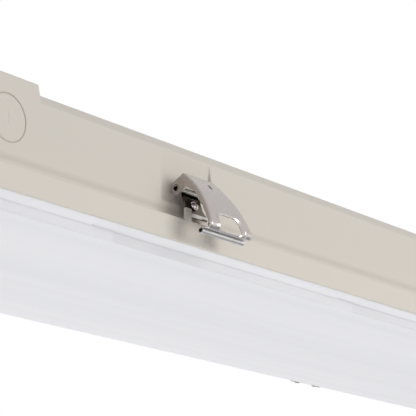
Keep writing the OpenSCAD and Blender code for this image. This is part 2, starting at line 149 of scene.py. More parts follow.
def close_finish(material, shade, bump, bump_height, **sockets):
    """Ends a material in one Principled shader. A socket's name has _ for each space. `bump` is a height from
    0 to 1, and `bump_height` is what 1 stands for, in metres."""
    inputs = {name.replace("_", " "): value for name, value in sockets.items()}
    inputs["Normal"] = shade.node("Bump", {}, {"Strength": 1.0, "Distance": bump_height, "Height": bump})
    surface = shade.node("BsdfPrincipled", {}, inputs)
    shade.node("OutputMaterial", {}, {"Surface": surface})
    return material


def noise(shade, place, scale, detail=3.0, rough=0.5):
    """Cloudy noise from 0 to 1, with `scale` lumps to the metre."""
    return shade.node("TexNoise", {}, {"Vector": place, "Scale": scale, "Detail": detail, "Roughness": rough})


def stretched(shade, scale):
    """The object's own coordinates, stretched by three factors."""
    spot = shade.node("TexCoord", {}, {}, out="Object")
    return shade.node("Mapping", {}, {"Vector": spot, "Scale": scale})


def coordinate(shade, axis):
    """One of the object's own coordinates, in metres: axis 0, 1 or 2 for X, Y or Z."""
    return shade.node("SeparateXYZ", {}, {"Vector": stretched(shade, (1, 1, 1))}, out=axis)


def above_flange(shade, low, high):
    """A smooth rise from 0 to 1 between two heights, in millimetres above the housing's flange."""
    return coordinate(shade, 2).ramp((flange_z + low) / 1000, (flange_z + high) / 1000)


def toned(colour, factor):
    """The colour made darker or lighter by a factor, never over 1."""
    return tuple(min(1, c * factor) for c in colour)


print("shader helpers ready")

# %% [markdown]
# The housing is moulded in glass fibre polyester: warm light grey, satin, with faint clouds of colour, tiny
# specks of resin and a fine orange-peel skin. Noise at several scales does that. The bump stays under a
# tenth of a millimetre, as the skin of a moulding does. Two tones go by height: painted shade in a soft
# dark line along the foot of the wall, and painted light on the flange below it, which is a little paler.

# %% Moulded housing finish
def moulded(name, colour, rough):
    """Satin polyester: the colour varied by noise, painted shade and painted light by height, over a fine
    skin.
    """
    material, shade = finish_named(name)
    place = stretched(shade, (1, 1, 1))
    clouds = noise(shade, place, 9, 4)
    flow = noise(shade, stretched(shade, (6, 30, 60)), 1, 4)
    specks = noise(shade, place, 900, 2).ramp(0.66, 0.78)
    lift = (clouds - 0.5) * 0.05 + (flow - 0.5) * 0.045
    tint = (lift + 0.5).mix(toned(colour, 0.94), toned(colour, 1.06))
    tint = (specks * 0.16).mix(tint, toned(colour, 0.6))
    # Painted shade: a soft dark line along the foot of the wall, where the flange shades it
    foot_shade_painted = above_flange(shade, 3.7, 5.8) * (1 - above_flange(shade, 6.4, 9.9))
    tint = foot_shade_painted.mix(tint, toned(colour, 0.89))
    # Painted light: the flange is painted a little paler than the wall
    flange_light_painted = 1 - above_flange(shade, -1.3, 0.3)
    tint = flange_light_painted.mix(tint, toned(colour, 1.05))
    skin = noise(shade, place, 420, 3) + noise(shade, place, 1500, 2) * 0.4
    return close_finish(material, shade, skin, 0.00006, Base_Color=tint,
                        Roughness=rough + (clouds - 0.5) * 0.12, Specular_IOR_Level=0.2)


housing_finish = moulded("moulded_polyester", (0.677, 0.637, 0.575), 0.56)
print("housing finish:", housing_finish.name)

# %% [markdown]
# The lens is frosted acrylic, milky and a little cooler than the housing. Light that enters it comes out
# again elsewhere, which a faint painted glow stands in for. Its ribbed grain runs along the fixture, as broad
# soft streaks in the colour and as a fine bump. A band of painted shade darkens it along the upright side.

# %% Frosted lens finish
lens_side_y = half_width - 9.3


def frosted(name):
    """Milky acrylic: streaks and clouds between two colours, a painted glow, and painted shade at the upright
    side.
    """
    material, shade = finish_named(name)
    duller, milkier, crease_shade = (0.78, 0.782, 0.808), (0.83, 0.83, 0.855), (0.66, 0.66, 0.685)
    clouds = noise(shade, stretched(shade, (1, 1, 1)), 5, 3)
    streaks = noise(shade, stretched(shade, (0.4, 45, 45)), 1, 4, 0.6)
    grain = noise(shade, stretched(shade, (300, 1400, 1400)), 1, 2)
    tint = (streaks * 0.8 + clouds * 0.2).ramp(0.25, 0.75).mix(duller, milkier)
    across = shade.maths("ABSOLUTE", coordinate(shade, 1))
    off_side = shade.maths("ABSOLUTE", across - lens_side_y / 1000)
    # Painted shade: a darker band along the upright side of the lens
    tint = (0.85 - off_side.ramp(0.0004, 0.0016) * 0.85).mix(tint, crease_shade)
    return close_finish(material, shade, grain, 0.00003, Base_Color=tint, Roughness=0.55 + clouds * 0.08,
                        Specular_IOR_Level=0.12, Emission_Color=tint, Emission_Strength=0.13)


lens_finish = frosted("frosted_acrylic")
print("lens finish:", lens_finish.name)

# %% [markdown]
# The latches are bright stainless spring steel. Rolled sheet has faint lines along its grain, with smudges
# that dull it in places. The lines are noise stretched along X, the smudges are broad noise in the
# roughness. A mask paints shade into the colour, darker where shade falls. A pin and a bracket take it from
# the distance to an axis along X; a lever takes it from marks at its own points, because a distance can't
# tell a sheet's inside from its outside. Another mark paints a paler sheen on a lever's foot and roll.

# %% Steel finishes
# The colours of painted shade in a pin's bore, at a lever's sides and on a bracket's plate; of a painted
# sheen
bore_shade, side_shade, plate_shade = (0.004, 0.004, 0.004), (0.04, 0.022, 0.002), (0.17, 0.145, 0.12)
sheen_pale = (0.71, 0.70, 0.69)
# The axes of the pin and of the roll at a bracket's foot, in millimetres outwards and up from the pin
pin_axis, foot_axis = (0, 0), (3.4, -15.9)


def mark(shade, name):
    """A number that a piece keeps at its own points."""
    return shade.node("Attribute", {"attribute_name": name}, {}, out=2)


def steel(name, colour, rough, lines=0.10, smudge=0.10, shade_mask=None, dark=None, sheen_grain=0.0):
    """Rolled steel. The mask function, if one is given, paints shade into the colour: `dark` where it is 1.
    Where a piece's mark of painted sheen is 1, the steel is painted paler, and its grain gains the amount
    given, which makes it rougher."""
    material, shade = finish_named(name)
    rolled = noise(shade, stretched(shade, (60, 2600, 2600)), 1, 3)
    smudges = noise(shade, stretched(shade, (1, 1, 1)), 120, 4)
    tint = (rolled * 0.6 + smudges * 0.4).mix(toned(colour, 0.88), toned(colour, 1.08))
    # Painted sheen: the colour is painted paler where the mark is 1, on a lever's foot and roll
    if sheen_grain:
        painted_sheen = mark(shade, "painted_sheen")
        tint = painted_sheen.mix(tint, sheen_pale)
        rolled = rolled + painted_sheen * sheen_grain
    # Painted shade: the mask's darker colour stands in for shade
    if shade_mask:
        tint = shade_mask(shade).mix(tint, dark)
    return close_finish(material, shade, rolled, 0.000012, Base_Color=tint, Metallic=1.0,
                        Roughness=rough + (rolled - 0.5) * lines + (smudges - 0.5) * smudge)


def beyond(shade, axis, near, far):
    """A smooth rise from 0 to 1 between two distances, in millimetres, from an axis at the latches."""
    across = shade.maths("ABSOLUTE", coordinate(shade, 1)) - (pin_y + axis[0]) / 1000
    upward = coordinate(shade, 2) - (pin_z + axis[1]) / 1000
    return shade.maths("SQRT", across * across + upward * upward).ramp(near / 1000, far / 1000)


def pin_bore_shade(shade):
    """Painted shade: 1 within the dished end of a latch pin, 0 on its rim and on a crescent of its wall left
    lit.
    """
    crescent = beyond(shade, (-0.4, -0.4), 1.3, 1.42) * (1 - beyond(shade, pin_axis, 1.5, 1.6))
    return (1 - beyond(shade, pin_axis, 1.95, 2.06)) * (1 - crescent)


def bracket_plate_shade(shade):
    """Painted shade: 1 on a bracket's plate and under its foot, 0 on its barrel and on the roll at its foot.
    """
    plate = beyond(shade, pin_axis, 2.2, 2.8) * beyond(shade, foot_axis, 1.8, 2.3)
    return shade.maths("MAXIMUM", plate, 1 - above_flange(shade, 3.7, 4.2))


def lever_shade(shade):
    """Painted shade: 1 inside a lever's ears and behind its slit, less on its sides, as its own marks say."""
    return mark(shade, "painted_shade")


# Painted shade in a pin's bore, a lever's ears and sides and a bracket's plate; painted sheen on a lever's
# foot
pin_finish = steel("pin_steel", (0.66, 0.64, 0.62), 0.2, shade_mask=pin_bore_shade, dark=bore_shade)
spring_finish = steel("spring_steel_sheet", (0.63, 0.58, 0.56), 0.28, shade_mask=lever_shade, dark=side_shade,
                      sheen_grain=0.8)
bright_finish = steel("bright_steel", (0.66, 0.64, 0.62), 0.16, 0.06, 0.06)
bracket_finish = steel("bracket_steel", (0.70, 0.67, 0.64), 0.26, 0.06, 0.06, bracket_plate_shade, plate_shade)
plated_finish = steel("zinc_plated_steel", (0.58, 0.58, 0.57), 0.34)
brass_finish = steel("earth_screw_brass", (0.72, 0.53, 0.22), 0.28)
print("steel finishes: 6")

# %% [markdown]
# The parts behind the lens are seldom seen, but each still has the finish it has in life: white baked
# enamel, solder mask, phosphor, nylon, rubber and wire insulation. One function makes them all, from a
# colour, a roughness, the size and height of its grain, and a clear coat.

# %% Plain moulded and painted finishes
def coated(name, colour, rough, grain=700, height=0.00003, coat=0.0):
    """A plain surface: one colour, slightly clouded, over a grain of the given scale and height."""
    material, shade = finish_named(name)
    place = stretched(shade, (1, 1, 1))
    clouds = noise(shade, place, 30, 4)
    tint = clouds.mix(toned(colour, 0.92), toned(colour, 1.06))
    return close_finish(material, shade, noise(shade, place, grain, 3), height, Base_Color=tint,
                        Roughness=rough + (clouds - 0.5) * 0.1, Coat_Weight=coat)


enamel_finish = coated("white_enamel", (0.82, 0.82, 0.81), 0.3, 260, 0.00004, 0.3)
board_finish = coated("solder_mask", (0.80, 0.81, 0.79), 0.35, 900, 0.00001, 0.2)
phosphor_finish = coated("lamp_phosphor", (0.86, 0.70, 0.26), 0.4, 3000, 0.00001)
case_finish = coated("driver_case_paint", (0.76, 0.76, 0.74), 0.4, 500)
nylon_finish = coated("natural_nylon", (0.74, 0.73, 0.69), 0.45)
rubber_finish = coated("gasket_rubber", (0.035, 0.035, 0.037), 0.7, 1600, 0.00008)
vent_finish = coated("vent_plastic", (0.03, 0.03, 0.032), 0.5, 1200, 0.00004)
black_wire_finish = coated("black_insulation", (0.045, 0.045, 0.048), 0.4)
red_wire_finish = coated("red_insulation", (0.42, 0.03, 0.025), 0.4)
print("coated finishes: 9")

# %% [markdown]
# The new pieces are surfaces worked out with numpy, in millimetres. A piece is one or more grids of points:
# the first grid direction runs along a section of the piece, the second along its length or round its rim.
# Blender's modelling tools could draw the same shapes by hand, but a formula keeps every edge where the
# drawing has it. `weld` joins grids that share an edge, and `make_piece` makes the result an object on one
# body.

# %% Surface tools
def rounded(points, radii, steps=4):
    """A section with round corners: each corner is cut back by radius / tan(half its angle) along both of its
    sides, and an arc about one centre joins the cuts. A radius of 0 keeps the corner."""
    points = np.asarray(points, float)
    path = [points[0]]
    for before, corner, after, radius in zip(points[:-2], points[1:-1], points[2:], radii):
        if radius == 0:
            path.append(corner)
            continue
        back = (before - corner) / np.linalg.norm(before - corner)
        ahead = (after - corner) / np.linalg.norm(after - corner)
        half_angle = math.acos(np.clip(back @ ahead, -1, 1)) / 2
        middle = corner + (back + ahead) / np.linalg.norm(back + ahead) * radius / math.sin(half_angle)
        start = corner + back * radius / math.tan(half_angle) - middle
        end = corner + ahead * radius / math.tan(half_angle) - middle
        turn = math.pi - 2 * half_angle
        part = np.linspace(0, 1, steps + 1)[:, None]
        path.extend(middle + (np.sin((1 - part) * turn) * start + np.sin(part * turn) * end) / math.sin(turn))
    path.append(points[-1])
    return np.array(path)


def grid_faces(rows, cols, closed=False):
    """Quads between neighbouring rows and columns of a grid whose points are numbered row by row."""
    index = np.arange(rows * cols).reshape(rows, cols)
    if closed:
        index = np.concatenate([index, index[:, :1]], axis=1)
    return np.stack([index[:-1, :-1], index[:-1, 1:], index[1:, 1:], index[1:, :-1]], axis=-1).reshape(-1, 4)


def weld(grids):
    """Joins (points, quads) pairs: points in the same place, to a thousandth of a millimetre, become one."""
    points = np.concatenate([np.asarray(p, float).reshape(-1, 3) for p, _ in grids])
    starts = np.cumsum([0] + [np.asarray(p).size // 3 for p, _ in grids])
    faces = np.concatenate([np.asarray(f) + start for (_, f), start in zip(grids, starts)])
    _, first, same = np.unique(np.round(points * 1000).astype(np.int64), axis=0, return_index=True,
                               return_inverse=True)
    return points[first], same.reshape(-1)[faces]


def vertex_normals(points, faces):
    """Each point's direction: the sum of its quads' cross products of diagonals, scaled to length one."""
    corner = points[faces]
    cross = np.cross(corner[:, 2] - corner[:, 0], corner[:, 3] - corner[:, 1])
    normals = np.zeros_like(points)
    for k in range(4):
        np.add.at(normals, faces[:, k], cross)
    return normals / np.maximum(np.linalg.norm(normals, axis=1, keepdims=True), 1e-12)


def thicken(points, faces, thickness, bulge=0.22):
    """A closed sheet: the surface, its copy moved back along the normals, and rims. A rim stands out in its
    middle by `bulge` times the thickness, as a tumbled edge does."""
    normals = vertex_normals(points, faces)
    thickness = np.broadcast_to(thickness, len(points))[:, None]
    count = len(points)
    edges = np.concatenate([faces[:, [k, (k + 1) % 4]] for k in range(4)])
    lone = ~np.isin(edges[:, 0] * count + edges[:, 1], edges[:, 1] * count + edges[:, 0])
    start, end = edges[lone].T
    outward = np.zeros_like(points)
    way = np.cross(points[end] - points[start], normals[start])
    np.add.at(outward, start, way)
    np.add.at(outward, end, way)
    outward /= np.maximum(np.linalg.norm(outward, axis=1, keepdims=True), 1e-12)
    middle = points - normals * thickness / 2 + outward * thickness * bulge
    every = np.concatenate([points, points - normals * thickness, middle])
    rims = [np.stack([end, start, start + 2 * count, end + 2 * count], axis=1),
            np.stack([end + 2 * count, start + 2 * count, start + count, end + count], axis=1)]
    return every, np.concatenate([faces, faces[:, ::-1] + count] + rims)


def make_piece(name, points, faces, finish, body, nodes, crease=32.0, marks=None):
    """An object from points in millimetres. Edges that turn more than `crease` degrees are shaded sharp.
    `marks` are numbers at the points, by name, which the finish may read."""
    mesh = bpy.data.meshes.new(name)
    flat = np.asarray(points, float).reshape(-1, 3)
    faces = [list(map(int, face)) for face in faces]
    used = np.unique(np.concatenate([np.asarray(face) for face in faces]))
    new_index = np.zeros(len(flat), int)
    new_index[used] = np.arange(len(used))
    mesh.from_pydata((flat[used] * 0.001).tolist(), [], [[int(new_index[i]) for i in face] for face in faces])
    mesh.polygons.foreach_set("use_smooth", np.ones(len(mesh.polygons), bool))
    mesh.set_sharp_from_angle(angle=math.radians(crease))
    mesh.materials.append(finish)
    for word, values in (marks or {}).items():
        data = mesh.attributes.new(word, "FLOAT", "POINT").data
        data.foreach_set("value", np.asarray(values, np.float32)[used])
    mesh.validate()
    piece = bpy.data.objects.new(name, mesh)
    bpy.context.scene.collection.objects.link(piece)
    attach(piece, body)
    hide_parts(*nodes)
    print(name + ":", len(mesh.polygons), "faces")


# %% [markdown]
# The housing is one moulding: a flange band, drafted side walls, a chamfer along the roof, a raised block
# at each end, three recesses along each side and a knock-out disc in each wall of the end blocks. It could
# be cut from a box with booleans, but a ring of columns round the flange, times a section of rows from the
# mouth over the flange and wall to the roof, gives one clean skin. Rows and columns are packed close where
# an edge is, and the recess, the block and the disc are only changes of the section from column to column.

# %% The section of the housing
shoulder_z, roof_z = -10.7, -2.3
wall_h = shoulder_z - flange_z
flange_out, wall_t, draft = 9.0, 3.0, math.tan(math.radians(2.9))
# How far in from the flange's face the last two rows lie on the roof; the very last is zipped shut
roof_row, roof_end = 40.0, 100.0
# The knock-outs: heights above the flange, the reach of their columns, and their groove's radii and depths
ko_side_h, ko_end_h, ko_reach = 29.1, 26.0, 17.0
groove_r = np.array([11.4, 12.2, 13.15, 13.4, 13.65, 13.9, 14.15])
groove_depth = np.array([0, 0.08, 0.1, 0.35, 0.85, 0.35, 0])
half_marks = np.concatenate([[0.4, 1.75, 4, 6.5, 9], groove_r, [15.4, ko_reach]])
ko_marks = np.concatenate([-half_marks[::-1], [0], half_marks])

# Distances in from the flange's face and heights: the inner skin and the gasket's channel, then the flange
ledge_z, channel_z = flange_z - 3, flange_z - 9.5
inner_rows = np.array([(roof_end, roof_z - wall_t), (22.9, roof_z - wall_t), (14.2, shoulder_z),
                       (12, flange_z), (12, ledge_z), (12, flange_z - 3.4), (12, channel_z),
                       (9, channel_z), (9, ledge_z), (2.2, ledge_z)])
band_corners = [(2.2, ledge_z), (2.2, rim_z), (0, rim_z), (0, flange_z), (4.5, flange_z)]
band_rows = rounded(band_corners, (0.4, 0.8, 0.9))[1:]
fillet_r = 1.2
fillet_turn = np.linspace(0, math.pi / 2, 5)
fillet_rows = np.stack([flange_out - fillet_r + fillet_r * np.sin(fillet_turn),
                        flange_z + fillet_r - fillet_r * np.cos(fillet_turn)], axis=1)
shared = np.concatenate([inner_rows, band_rows, fillet_rows])

# Heights above the flange of the wall's rows: at a block's side, between the blocks, and at the end
first_h, last_h = 1.8, 47.3
wall_rows = np.concatenate([[first_h, 5, 9], ko_side_h + ko_marks, [last_h]])
mid_rows = np.interp(wall_rows, [first_h, last_h], [first_h, wall_h - 1.2])
end_rows = np.interp(wall_rows, [0, 5, ko_side_h - ko_reach, ko_side_h + ko_reach, last_h],
                     [0, 4, ko_end_h - ko_reach, ko_end_h + ko_reach, 46])


def wall_at(height):
    """The outer wall at a height above the flange: the draft leans it inwards."""
    return np.stack([flange_out + draft * height, flange_z + height], axis=-1)


def top_rows(edge, radii):
    """The rows over one or two rounded edges and on to the roof's middle."""
    height = edge[-1][1]
    return rounded(list(edge) + [(roof_row, height), (roof_end, height)], radii)[1:]


chamfer_top = (flange_out + draft * (roof_z - flange_z) + 8.4, roof_z)
mid_top = top_rows([wall_at(wall_h - 2), wall_at(wall_h), chamfer_top], (1.6, 1.2, 0))
block_edge = top_rows([wall_at(-flange_z - 6), wall_at(-flange_z)], (1.2, 0))
block_top = np.concatenate([wall_at(np.linspace(48.3, 50.3, 5)), block_edge])
mid_section = np.concatenate([shared, wall_at(mid_rows), mid_top])
block_section = np.concatenate([shared, wall_at(wall_rows), block_top])
end_section = np.concatenate([shared, wall_at(end_rows), block_top])
first_wall = len(shared)
ko_rows = slice(first_wall + 3, first_wall + 3 + len(ko_marks))
row_count = len(mid_section)
print("rows in the housing's section:", row_count, len(block_section), len(end_section))

# %% [markdown]
# Each column carries four numbers: its place along the side, how much it leans outwards towards the flange,
# how deep in a recess it lies (0 to 1), and how far the section there is that of an end block (0 to 1).

# %% The columns of the housing
recess_half, recess_flare, recess_slope, recess_foot = 22.8, 3.1, 0.2, 11.5
latch_at = (-415.0, 0.0, 415.0)
edge_step = np.array([-0.8, -0.4, -0.15, 0.05, 0.3, 0.7, 1.2, 1.9])
edge_depth = np.array([1, 0.97, 0.85, 0.35, 0.17, 0.07, 0.02, 0])
block_step = np.array([-0.6, -0.2, 0, 0.15, 0.45, 0.9])
block_weight = np.array([0, 0.02, 0.75, 0.93, 0.99, 1])
block_x, ko_x = half_length - flange_out - 80, half_length - 64
plain_x = (603.0, 520.0, 485.0, 460.0, 365.0, 300.0, 220.0, 140.0, 75.0, 40.0)
columns = [(s * x, 0, 0, 1.0 * (x > block_x)) for s in (-1, 1) for x in plain_x]
columns += [(s * (ko_x + m), 0, 0, 1) for s in (-1, 1) for m in ko_marks]
columns += [(s * (block_x + m), 0, 0, w) for s in (-1, 1) for m, w in zip(block_step, block_weight)]
columns += [(x + s * (recess_half + m), s * recess_flare, d, 0) for x in latch_at for s in (-1, 1)
            for m, d in zip(edge_step, edge_depth)]
columns += [(x + m, recess_flare * m / recess_half, 1, 0) for x in latch_at for m in (-18, -10, 0, 10, 18)]
columns = np.array(sorted(columns))
end_marks = np.concatenate([[-72, -58, -44, -30], ko_marks, [30, 44, 58, 72]])
# The corners' radius at the flange's face, its least value farther in, and how far in the ends' rows go
corner_r, least_r, end_reach = 20, 2, 26
corner_turn = np.linspace(0, math.pi / 2, 9)
print("columns along a side:", len(columns))


def disc_warp(across, upward):
    """Turns a square of grid lines into circles: the ring of lines at distance g from the middle becomes the
    circle of radius g, fully so inside the groove and not at all at the square's rim. Also gives the depth of
    the groove there, and of the small mark in the disc's middle."""
    reach = np.maximum(np.abs(across), np.abs(upward))
    wide = np.abs(across) >= np.abs(upward)
    with np.errstate(divide="ignore", invalid="ignore"):
        slant = np.nan_to_num(np.where(wide, upward / across, across / upward)) * math.pi / 4
    main = np.where(wide, across, upward)
    round_x = np.where(wide, main * np.cos(slant), main * np.sin(slant))
    round_z = np.where(wide, main * np.sin(slant), main * np.cos(slant))
    share = np.clip((ko_reach - reach) / (ko_reach - groove_r[-1]), 0, 1)
    depth = np.interp(reach, groove_r, groove_depth)
    gate = (np.abs(across) < 0.5) & (np.abs(upward) < 2) & (np.abs(across) + np.abs(upward) < 2.0)
    return across + share * (round_x - across), upward + share * (round_z - upward), depth + 0.35 * gate


def press_disc(along, inset, height, cols, middle, disc_h):
    """Presses a knock-out into the wall given by three grids, at a middle along it and a height up it."""
    square = along[ko_rows, cols] - middle
    across, upward, depth = disc_warp(square, ko_marks[:, None] + 0 * square)
    along[ko_rows, cols] = middle + across
    inset[ko_rows, cols] = flange_out + draft * (disc_h + upward) + depth
    height[ko_rows, cols] = flange_z + disc_h + upward


def long_side(direction):
    """Places along X, distances in and heights of one long side's columns, from -X to +X or back."""
    plan = columns[::direction]
    place, lean, depth, block = (plan[None, :, k] for k in range(4))
    inset = mid_section[:, :1] * (1 - block) + block_section[:, :1] * block
    height = mid_section[:, 1:] * (1 - block) + block_section[:, 1:] * block
    fall = np.clip((shoulder_z - height) / wall_h, 0, 1)
    row = np.arange(row_count)[:, None]
    inner = (row >= 2) & (row <= 4)
    outer = row >= first_wall - len(fillet_rows)
    in_recess = (inner | outer) & (height > flange_z + recess_foot)
    inset = inset + depth * recess_slope * wall_h * fall * in_recess
    along = place + lean * fall + np.sign(lean) * (np.abs(lean) == recess_flare) * wall_t * inner
    block_lean = 1.2 * np.clip(-height / 12.7, 0, 1) * (np.abs(np.abs(place) - block_x) < 1)
    along = along - np.sign(place) * block_lean * outer
    for middle in (-ko_x, ko_x):
        cols = np.flatnonzero(np.abs(plan[:, 0] - middle) <= ko_reach + 0.01)
        press_disc(along, inset, height, slice(cols[0], cols[-1] + 1), middle, ko_side_h)
    return along, inset, height


def short_end(direction):
    """The same for one end, along Y, with the marks drawn together where the roof rows close in."""
    straight = half_width - end_section[:, :1] - np.maximum(corner_r - end_section[:, :1], least_r)
    along = end_marks[None, ::direction] * np.minimum(straight / 80, 1)
    inset = end_section[:, :1] + 0 * along
    height = end_section[:, 1:] + 0 * along
    press_disc(along, inset, height, slice(4, 4 + len(ko_marks)), 0, ko_end_h)
    return along, np.minimum(inset, end_reach), height


def corner(sign_x, sign_y):
    """A quarter circle of columns at one corner, from the near or far side to the end, or back."""
    turn = corner_turn[None, :] if sign_x * sign_y < 0 else corner_turn[None, ::-1]
    blend = turn / (math.pi / 2)
    inset = block_section[:, :1] * (1 - blend) + end_section[:, :1] * blend
    height = block_section[:, 1:] * (1 - blend) + end_section[:, 1:] * blend
    radius = np.maximum(corner_r - inset, least_r)
    x = half_length - np.minimum(inset, end_reach) - radius + radius * np.sin(turn)
    y = half_width - inset - radius + radius * np.cos(turn)
    return np.stack([sign_x * x, sign_y * y, height], axis=-1)


def housing_grid():
    """The whole skin, ring by ring, counter-clockwise as seen from above: the near side and the right end,
    then the far side and the left end."""
    parts = []
    for way in (1, -1):
        along, inset, height = long_side(way)
        parts += [np.stack([along, way * (inset - half_width), height], axis=-1), corner(way, -way)]
        along, inset, height = short_end(way)
        parts += [np.stack([way * (half_length - inset), along, height], axis=-1), corner(way, way)]
    return np.concatenate(parts, axis=1)


def zip_shut(first, upper):
    """Faces that close the last or first ring: quads across the roof, and one flat face at each end."""
    side, end, bend = len(columns), len(end_marks), len(corner_turn)
    near = first + np.arange(side)
    far = first + side + 2 * bend + end + np.arange(side)[::-1]
    quads = np.stack([near[:-1], near[1:], far[1:], far[:-1]], axis=1).tolist()
    ring = side * 2 + end * 2 + bend * 4
    right_end = [first + side - 1 + k for k in range(2 * bend + end + 2)]
    left_end = [first + (side * 2 + 2 * bend + end - 1 + k) % ring for k in range(2 * bend + end + 2)]
    faces = quads + [right_end, left_end]
    return faces if upper else [face[::-1] for face in faces]


# %% [markdown]
# Small features stand on the housing: two tabs at each latch that hold the bracket's roll, a boss for each
# rivet, the rails for the mounting clips and the columns that carry the gear tray. Each is a stack of rings
# of one outline. All lie on the near side or are mirrored to the far one.

# %% Tabs, bosses, rails and columns
def stack(outline, levels, axes, place):
    """Rings of one counter-clockwise outline at (height, shrink) levels. The rows of `axes` are the
    directions of the outline's two coordinates and of the height."""
    half = np.abs(outline).max(axis=0)
    rings = [np.column_stack([outline * (half - shrink) / half, np.full(len(outline), height)])
             for height, shrink in levels]
    count = len(outline)
    faces = grid_faces(len(levels), count, closed=True).tolist()
    faces += [list(range(count))[::-1], [(len(levels) - 1) * count + k for k in range(count)]]
    return np.concatenate(rings) @ np.array(axes, float) + place, faces


def mirrored(part):
    """The same part on the far side."""
    return part[0] * [1, -1, 1], [face[::-1] for face in part[1]]


def joined(parts):
    """One list of points and one of faces from many."""
    starts = np.cumsum([0] + [len(points) for points, _ in parts])
    faces = [[i + int(start) for i in face] for (_, part), start in zip(parts, starts) for face in part]
    return np.concatenate([points for points, _ in parts]), faces


def ring_outline(radius, count=24):
    """Points at even steps round a circle."""
    turn = np.arange(count) * 2 * math.pi / count
    return radius * np.stack([np.cos(turn), np.sin(turn)], axis=1)


def small_features():
    """The near side's tabs, bosses, rails and columns."""
    level = np.eye(3)
    half_x, half_y = 2.9, 0.95
    corners = [(0, -half_y), (half_x, -half_y), (half_x, half_y), (-half_x, half_y), (-half_x, -half_y),
               (0, -half_y)]
    tab = rounded(corners, [0.5] * 4, 3)[:-1]
    tab_levels = [(-0.6, 0), (6.9, 0), (7.3, 0.15), (7.5, 0.5)]
    tilt = math.radians(18.8)
    boss_axes = [[1, 0, 0], [0, math.sin(tilt), math.cos(tilt)], [0, -math.cos(tilt), math.sin(tilt)]]
    boss_levels = [(-10.6, 0), (-1.1, 0), (-0.83, 0.3)]
    sill = roof_z - 0.3
    rail = np.array([(42, -1), (44.5, -1), (44.5, sill), (46.5, sill), (46.5, -0.2), (42, -0.2)])
    rail_axes = [[0, 1, 0], [0, 0, 1], [1, 0, 0]]
    column_levels = [(-48.5, 0), (roof_z - wall_t + 0.5, 0)]
    parts = [stack(tab, tab_levels, level, (x + s * 11.8, half_y - half_width, flange_z))
             for x in latch_at for s in (-1, 1)]
    parts += [stack(ring_outline(2.7), boss_levels, boss_axes, (x, -pin_y - 2.54, pin_z - 8.4))
              for x in latch_at]
    parts += [stack(rail, [(-22, 0), (22, 0)], rail_axes, (x, 0, 0)) for x in (-400, 400)]
    parts += [stack(ring_outline(5), column_levels, level, (x, -62, 0)) for x in (-520, 0, 520)]
    return parts


near_features = small_features()
print("small features:", 2 * len(near_features))

# %% The housing
skin = housing_grid()
ring_count = skin.shape[1]
skin_faces = grid_faces(row_count, ring_count, closed=True).tolist()
skin_faces += zip_shut(0, False) + zip_shut((row_count - 1) * ring_count, True)
features = near_features + [mirrored(part) for part in near_features]
every_point, every_face = joined([(skin.reshape(-1, 3), skin_faces)] + features)
make_piece("housing_skin", every_point, every_face, housing_finish, "fixture", ["housing"])

# %% [markdown]
# The lens is a shallow tray of frosted acrylic, 2 mm thick: a sloped rim under the flange, a short upright
# side, and wide facets that fall to a flat strip along the middle. The same ring of columns carries its
# section. The corners of a vacuum formed or moulded lens are soft, so each bend of the section is an arc.

# %% The lens
# Its thickness, then the drops of its rim, its upright side and its facets, and how far in the side lies
lens_t, rim_drop, side_drop, facet_drop, side_in = 2.0, 3.2, 5.6, 5.9, 9.0
lens_edge_z = rim_z + 0.2
lens_low_z = lens_edge_z - rim_drop - side_drop - facet_drop
mark_pitch, mark_reach, mark_depth = 247.0, 10.0, 0.45
# Distances in across the sides, distances in along the ends, and heights
lens_points = [(half_width - 1, half_width - 1, lens_low_z), (83, 45.6, lens_low_z),
               (9.6, 9.6, lens_low_z + facet_drop), (side_in, side_in, lens_edge_z - rim_drop),
               (2.6, 2.6, lens_edge_z), (2.6, 2.6, lens_edge_z + lens_t), (4.7, 4.7, lens_edge_z + 1.2),
               (4.7, 4.7, lens_edge_z + 6.2), (6.7, 6.7, lens_edge_z + 6.2), (6.7, 6.7, lens_edge_z + 0.44),
               (11, 11, lens_edge_z - 1.2), (11.6, 11.6, lens_low_z + 7.9), (83, 47.6, lens_low_z + lens_t),
               (half_width - 1, half_width - 1, lens_low_z + lens_t)]
lens_section = rounded(lens_points, (14, 1.6, 1.1, 0.5, 0.3, 0.2, 0.3, 0.3, 0.2, 0.4, 0.6, 8))
mark_steps = np.array([-10.6, -10, -9.4, 0, 9.4, 10, 10.6])
lens_x = [i * mark_pitch + mark_steps for i in (-2, -1, 0, 1, 2)] + [[-585, 585, -380, 380, -125, 125]]
lens_x = np.sort(np.concatenate(lens_x))
lens_y = np.array([-60.0, -30, 0, 30, 60])


